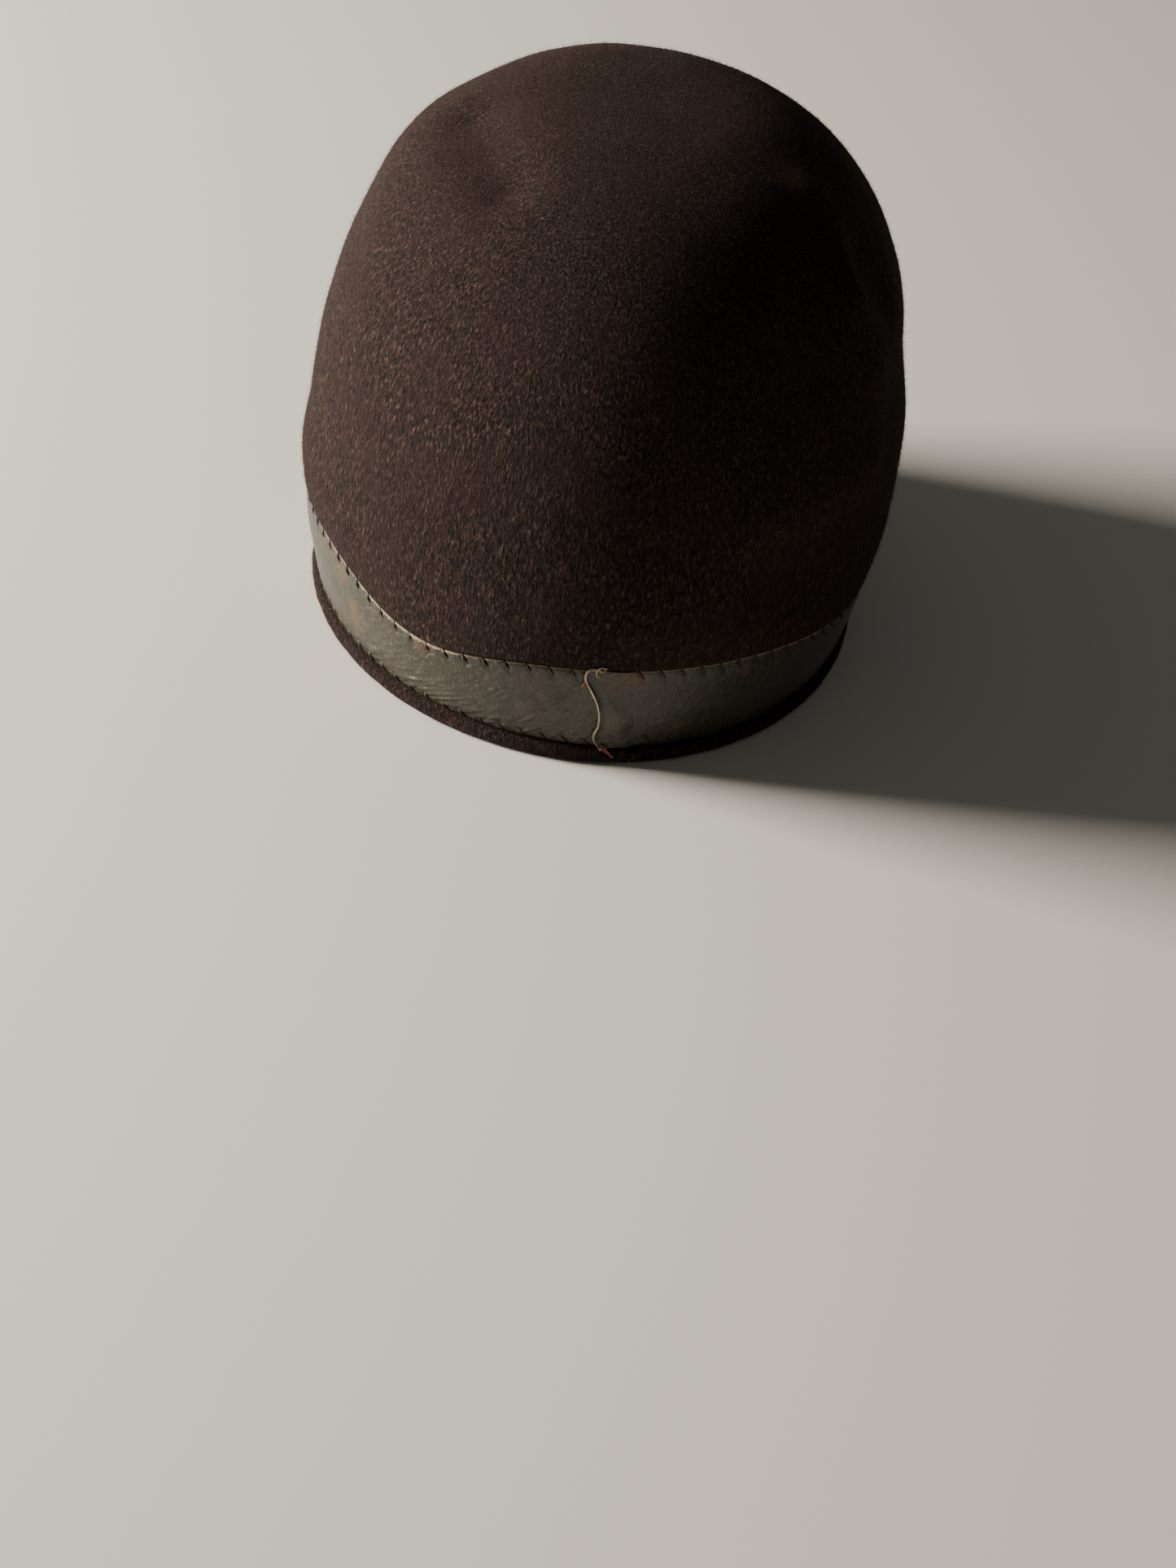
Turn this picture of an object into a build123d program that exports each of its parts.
"""Deep-crowned felt bowler with a whip-stitched leather band round its turned-down brim.

Frame: +Z up, +Y towards the wearer's face, +X to the wearer's right. The origin is the
centre of the brim's lower edge, on the surface that the hat stands on. Millimetres.
The plan of the hat is an oval, so each ring and shell is turned round Z from its section
and then stretched along Y by PLAN_RATIO. Sections are drawn as (half width, height).
"""
from build123d import *
import os
from math import asin, atan2, cos, hypot, pi, radians, sin

# ---- driving dimensions -------------------------------------------------------------
HEAD_HALF = 79.2            # half width of the head opening, inside the sweatband
PLAN_RATIO = 1.2            # length of the head oval over its width
FELT = 2.8                  # thickness of the blocked felt
CROWN_HALF = 90.9           # half width of the crown where it is fullest
CROWN_WIDEST = 51.0         # height of that fullest place
HAT_TALL = 165.0            # height of the crown's top
CROWN_SIDE_POWER = 2.85     # how square the crown is in its width
CROWN_TOP_POWER = 2.6       # how square the crown is in its height
LIP_HALF = 85.6             # half width of the rolled felt edge
LIP_TALL = 5.0              # height of the rolled felt edge
LIP_ROUND = 2.0             # rounding of that edge
SWEATBAND_THICK = 0.6
NAP = 0.2                   # room that the felt's nap takes under the ribbon and leather
SWEATBAND_LOW, SWEATBAND_HIGH = 1.0, 26.0
LEATHER = 1.0               # thickness of the leather band
BAND_TOP = 33.5             # height of the leather's upper edge
CREASE = 34.0               # height of the crease where the crown starts
FELT_UNDER_LOW = 82.8       # half width of the felt behind the leather's lower edge
FELT_UNDER_HIGH = 86.8      # half width of the felt behind the leather's upper edge
BRIM_BOW = 0.9              # how far that face is rounded out between the two
LAP_AT, LAP_LONG = 10.5, 10.0   # where the overlap of the leather's ends starts, and its length
# the tacks of that overlap: three places of each, as distance right of the nape, height
# and how far proud of the felt, and the thread's radius
JOIN_TACKS = [
    (((6.8, 27.8, 0.6), (7.2, 29.5, 1.8), (7.6, 31.2, 0.6)), 0.4),
    (((14.6, 6.6, 1.6), (16.0, 5.9, 3.0), (17.4, 4.4, 2.2)), 0.45),
]
STITCHES = 92               # whip stitches along each edge of the leather
STITCH_REACH, SLANT = 3.2, 2.2      # how far each reaches over the edge, and sideways
STITCH_THREAD = 0.3         # radius of that waxed thread
SEWING_THREAD = 0.2         # radius of the finer thread inside
WIRE_THICK, WIRE_TALL = 0.8, 1.4    # section of the flat brim wire
WIRE_LOW, WIRE_DEEP = 1.3, 0.5      # its lower edge, and how far it lies behind the ribbon
REBATE = 0.6                # room round the wire in the felt
JOINER_LONG = 12.0
JOINER_WALL = 0.25
LINING = 0.4                # thickness of the lining satin
LINING_GAP = 0.8            # slack between the felt and the lining
LINING_LOW, LINING_SEAM = 20.0, 125.0
LINING_LOW_HALF = 81.7       # half width of the loose lower edge
SEAM_GAP, LABEL_GAP = 0.25, 0.15
LABEL_LONG, LABEL_WIDE, LABEL_THICK = 44.0, 20.0, 0.45
TAG_WIDE, TAG_DROP, TAB_TALL, TAG_THICK = 16.0, 11.7, 3.0, 0.35
TAG_FOLD = 19.85            # height of the size tag's fold, its hinge line
FOLD_GAP = 0.15             # half of the gap between the two sides of that fold

FELT_INSIDE = HEAD_HALF + SWEATBAND_THICK + NAP
BACK = -1                   # sign of Y at the wearer's nape, where both bands are joined


def crown_line(inset):
    """The crown's meridian, from its fullest place to its top, moved inwards by inset."""
    half, rise = CROWN_HALF - inset, HAT_TALL - inset - CROWN_WIDEST
    points = []
    for degrees in range(0, 100, 10):
        t = radians(min(degrees, 90))
        across = 0.0 if degrees == 90 else half * cos(t) ** (2 / CROWN_SIDE_POWER)
        points.append((across, CROWN_WIDEST + rise * sin(t) ** (2 / CROWN_TOP_POWER)))
    return Spline(*points, tangents=[(0, 1), (-1, 0)])


def oval(section):
    """Turns a section round Z and stretches the result along Y to the hat's plan."""
    upright = Plane.XZ * section
    return scale(revolve(upright, Axis.Z, 360), by=(1, PLAN_RATIO, 1))


def outline(*lines):
    """A flat section closed by its lines, in any order."""
    return make_face([edge for line in lines for edge in line.edges()])


def ring_section(half, low, high, thick):
    """An upright strip, thick outwards from its half width."""
    return Pos(half + thick / 2, (low + high) / 2) * Rectangle(thick, high - low)


def band_half(height):
    """Half width of the felt's rounded face behind the leather at a height."""
    share = (height - LIP_TALL) / (CREASE - LIP_TALL)
    straight = FELT_UNDER_LOW + share * (FELT_UNDER_HIGH - FELT_UNDER_LOW)
    return straight + 4 * BRIM_BOW * share * (1 - share)


def band_arc(low, high, proud):
    """The rounded line that lies proud of the felt between two heights."""
    return ThreePointArc(*((band_half(h) + proud, h) for h in (low, (low + high) / 2, high)))


def band_section(proud, thick):
    """A layer of leather over the brim, its inner face proud of the felt."""
    low = LIP_TALL + NAP
    inner, outer = band_arc(low, BAND_TOP, proud), band_arc(low, BAND_TOP, proud + thick)
    return outline(inner, outer, Line(inner @ 0, outer @ 0), Line(inner @ 1, outer @ 1))


def oval_angles(half, count):
    """Angles on the oval that space count points evenly along its length."""
    rim = Edge.make_ellipse(half, half * PLAN_RATIO)
    spots = [rim.position_at((i + 0.5) / count) for i in range(count)]
    return [atan2(p.Y / PLAN_RATIO, p.X) for p in spots]


def oval_point(half, angle, height):
    return Vector(half * cos(angle), PLAN_RATIO * half * sin(angle), height)


def thread_arc(start, middle, end, radius):
    """One stitch: round thread bent from a hole, over the work and into the next hole."""
    path = ThreePointArc(start, middle, end)
    return sweep(Plane(origin=path @ 0, z_dir=path % 0) * Circle(radius), path=path)


# ---- outside ------------------------------------------------------------------------
def felt_hood():
    """Crown and brim, blocked in one piece; the brim's edge is rolled up double."""
    under = -1.0
    edge_flat = LIP_HALF - LIP_ROUND
    bulge = FELT_UNDER_HIGH + 2.4
    crease_round = 2.4
    inside_top, inside_mid = FELT_UNDER_HIGH - FELT, (LIP_TALL + CREASE) / 2
    inside_low = (FELT_INSIDE, LIP_TALL)
    outer = [
        Polyline((FELT_INSIDE, under), (edge_flat, under), (edge_flat, 0)),
        TangentArc((edge_flat, 0), (LIP_HALF, LIP_ROUND), tangent=(1, 0)),
        Line((LIP_HALF, LIP_ROUND), (LIP_HALF, LIP_TALL - LIP_ROUND)),
        TangentArc((LIP_HALF, LIP_TALL - LIP_ROUND), (edge_flat, LIP_TALL), tangent=(0, 1)),
        Line((edge_flat, LIP_TALL), (FELT_UNDER_LOW, LIP_TALL)),
        band_arc(LIP_TALL, CREASE, 0),
        TangentArc((FELT_UNDER_HIGH, CREASE), (bulge, CREASE + crease_round), tangent=(1, 0)),
        Spline((bulge, CREASE + crease_round), (CROWN_HALF, CROWN_WIDEST), tangents=[(0, 1), (0, 1)]),
        crown_line(0),
    ]
    inner = [
        Line((0, HAT_TALL), (0, HAT_TALL - FELT)),
        crown_line(FELT),
        Spline((CROWN_HALF - FELT, CROWN_WIDEST), (inside_top, CREASE), tangents=[(0, -1), (-0.15, -1)]),
        ThreePointArc((inside_top, CREASE), (band_half(inside_mid) - FELT, inside_mid), inside_low),
        Line(inside_low, (FELT_INSIDE, under)),
    ]
    shell = oval(outline(*outer, *inner))
    below = Box(400, 400, 20, align=(Align.CENTER, Align.CENTER, Align.MAX))
    mouth, deep = FELT_INSIDE - 1, 1 + WIRE_DEEP + WIRE_THICK + REBATE
    groove = ring_section(mouth, WIRE_LOW - REBATE, WIRE_LOW + WIRE_TALL + REBATE, deep)
    return shell - below - oval(groove)


def trim_band():
    """Leather strip round the brim, its right end lapped over its left end at the nape."""
    strip = oval(band_section(NAP, LEATHER))
    lap = oval(band_section(NAP + LEATHER, 0.9 * LEATHER))
    reach = Pos(LAP_AT + LAP_LONG / 2, BACK * 100, 20) * Box(LAP_LONG, 60, 60)
    return strip + (lap & reach)


def whip_stitches(low, high, slant):
    """A row of slanting stitches over one edge of the leather, evenly spaced."""
    mid = (low + high) / 2
    face = band_half(mid) + NAP + LEATHER
    row = []
    for angle in oval_angles(face, STITCHES):
        lean = slant / face / 2
        start = oval_point(band_half(low) + LEATHER - 0.4, angle - lean, low)
        middle = oval_point(face + 0.35, angle, mid)
        end = oval_point(band_half(high) + LEATHER - 0.4, angle + lean, high)
        row.append(thread_arc(start, middle, end, STITCH_THREAD))
    return Compound(children=row)


def band_join_tacks():
    """Two thicker tacks that pull the lapped ends down, one high and one at the edge."""
    tacks = []
    for stops, radius in JOIN_TACKS:
        places = []
        for across, height, proud in stops:
            half = band_half(height) + proud
            places.append(oval_point(half, BACK * pi / 2 + asin(across / half), height))
        tacks.append(thread_arc(*places, radius))
    return Compound(children=tacks)


def wire_section(wall):
    """Flat wire of the brim, grown all round by wall."""
    low, high = WIRE_LOW - wall, WIRE_LOW + WIRE_TALL + wall
    half = FELT_INSIDE + WIRE_DEEP - wall
    return ring_section(half, low, high, WIRE_THICK + 2 * wall)


def brim_wire():
    """Flat springy wire in a rebate of the rolled edge; its ends meet at the nape."""
    ends_gap = Pos(0, BACK * FELT_INSIDE * PLAN_RATIO, WIRE_LOW) * Box(0.4, 10, 5)
    return oval(wire_section(0)) - ends_gap


def wire_joiner():
    """Short metal sleeve crimped over the two ends of the wire."""
    sleeve = oval(wire_section(JOINER_WALL)) - oval(wire_section(0))
    reach = Pos(0, BACK * FELT_INSIDE * PLAN_RATIO, WIRE_LOW) * Box(JOINER_LONG, 20, 5)
    return sleeve & reach


# ---- inside -------------------------------------------------------------------------
def sweatband():
    """Grosgrain ribbon round the head opening, free at its upper edge, cut at the nape."""
    strip = oval(ring_section(HEAD_HALF, SWEATBAND_LOW, SWEATBAND_HIGH, SWEATBAND_THICK))
    return strip - Pos(0, BACK * 95, 14) * Box(0.4, 10, 40)


def sweatband_stitches():
    """Running stitches that hold the ribbon's lower edge to the felt."""
    count, height, length = 78, 4.0, 4.0
    row = []
    for angle in oval_angles(HEAD_HALF, count):
        turn = length / HEAD_HALF / 2
        start = oval_point(FELT_INSIDE + 0.1, angle - turn, height)
        middle = oval_point(HEAD_HALF - 0.12, angle, height)
        end = oval_point(FELT_INSIDE + 0.1, angle + turn, height)
        row.append(thread_arc(start, middle, end, SEWING_THREAD))
    return Compound(children=row)


def sweatband_bow():
    """Flat ribbon bow that covers the sweatband's join."""
    reach, tall, waist, height = 12.0, 4.2, 1.8, 14.0
    thick, knot = 0.9, 1.9
    layer = oval(ring_section(HEAD_HALF - thick, 5, 23, thick))
    corners = [(-reach, tall), (0, waist), (reach, tall), (reach, -tall), (0, -waist), (-reach, -tall)]
    tie = Polyline(*corners, close=True)
    upright = Plane(origin=(0, BACK * 80, height), x_dir=(1, 0, 0), z_dir=(0, BACK, 0))
    prism = extrude(upright * make_face(tie), 30)
    middle = Pos(0, BACK * (HEAD_HALF * PLAN_RATIO - knot / 2), height) * Box(3.6, knot, 5.2)
    return (layer & prism) + fillet(middle.edges(), 0.6)


def lining_shell(inset, thick):
    """A thin shell that follows the inside of the crown, inset from its outer face."""
    sides = []
    for deep in (inset, inset + thick):
        hang = Spline((CROWN_HALF - deep, CROWN_WIDEST), (FELT_UNDER_HIGH - deep - 0.3, CREASE),
                      (LINING_LOW_HALF + FELT - deep, LINING_LOW), tangents=[(0, -1), (-0.12, -1)])
        sides += [crown_line(deep), hang]
    ends = [Line(sides[0] @ 1, sides[2] @ 1), Line(sides[1] @ 1, sides[3] @ 1)]
    return oval(outline(*sides, *ends))


def slab(low, high):
    return Pos(0, 0, (low + high) / 2) * Box(300, 300, high - low)


def lining_side():
    """Satin side band, from behind the sweatband up to the tip's seam."""
    return lining_shell(FELT + LINING_GAP, LINING) & slab(0, LINING_SEAM - SEAM_GAP)


def lining_tip():
    """Oval satin tip that closes the lining under the crown's top."""
    return lining_shell(FELT + LINING_GAP, LINING) & slab(LINING_SEAM + SEAM_GAP, HAT_TALL)


def maker_label():
    """Blank woven label under the tip."""
    sheet = lining_shell(FELT + LINING_GAP + LINING + LABEL_GAP, LABEL_THICK)
    cut = Pos(0, 0, HAT_TALL) * Box(LABEL_LONG, LABEL_WIDE, 60)
    return sheet & cut


def label_stitches():
    """Four corner tacks of the label."""
    row = []
    inset = FELT + LINING_GAP + LINING + LABEL_GAP + LABEL_THICK
    x, y = LABEL_LONG / 2 - 2.0, LABEL_WIDE / 2 - 1.5
    share = hypot(x, y / PLAN_RATIO) / (CROWN_HALF - inset)
    rise = (1 - share ** CROWN_SIDE_POWER) ** (1 / CROWN_TOP_POWER)
    face = CROWN_WIDEST + rise * (HAT_TALL - inset - CROWN_WIDEST)
    for side in (-x, x):
        for end in (-y, y):
            ends = [(side + step * 1.2, end, face + 0.8) for step in (-1, 1)]
            row.append(thread_arc(ends[0], (side, end, face - 0.25), ends[1], SEWING_THREAD))
    return Compound(children=row)


def tag_plate(low, high, face):
    """A flat piece of the size tag, whose side nearer the ribbon is at X = -face."""
    middle = (-face + TAG_THICK / 2, 0, (low + high) / 2)
    return Pos(*middle) * Box(TAG_THICK, TAG_WIDE, high - low)


TAB_FACE = HEAD_HALF - 0.5      # the tab lies across the ribbon's curve, nearest at its ends
TAG_FACE = TAB_FACE - TAG_THICK


def size_tag_tab():
    """The sewn-down margin of the size tag, above its fold."""
    low = TAG_FOLD + FOLD_GAP
    return tag_plate(low, low + TAB_TALL, TAB_FACE)


def size_tag():
    """The free flap of the size tag, which hangs from its fold and lifts up."""
    high = TAG_FOLD - FOLD_GAP
    return tag_plate(high - TAG_DROP, high, TAG_FACE)


def size_tag_stitches():
    """Three short stitches through the tab into the ribbon."""
    height = TAG_FOLD + FOLD_GAP + TAB_TALL / 2
    row = []
    for place in (-5.5, 0, 5.5):
        inner = -TAG_FACE + 0.12
        ends = [(-TAG_FACE - 1.0, place + step * 1.3, height) for step in (-1, 1)]
        row.append(thread_arc(ends[0], (inner, place, height), ends[1], SEWING_THREAD))
    return Compound(children=row)


PIECES = {
    "felt_hood": felt_hood,
    "trim_band": trim_band,
    "band_top_stitches": lambda: whip_stitches(BAND_TOP - STITCH_REACH, BAND_TOP + 0.1, -SLANT),
    "band_bottom_stitches": lambda: whip_stitches(LIP_TALL + 0.3, LIP_TALL + STITCH_REACH, -SLANT),
    "band_join_tacks": band_join_tacks,
    "brim_wire": brim_wire,
    "wire_joiner": wire_joiner,
    "sweatband": sweatband,
    "sweatband_stitches": sweatband_stitches,
    "sweatband_bow": sweatband_bow,
    "lining_side": lining_side,
    "lining_tip": lining_tip,
    "maker_label": maker_label,
    "label_stitches": label_stitches,
    "size_tag_tab": size_tag_tab,
    "size_tag": size_tag,
    "size_tag_stitches": size_tag_stitches,
}

os.makedirs("parts", exist_ok=True)
for node, build in PIECES.items():
    export_step(build(), f"parts/{node}.step")
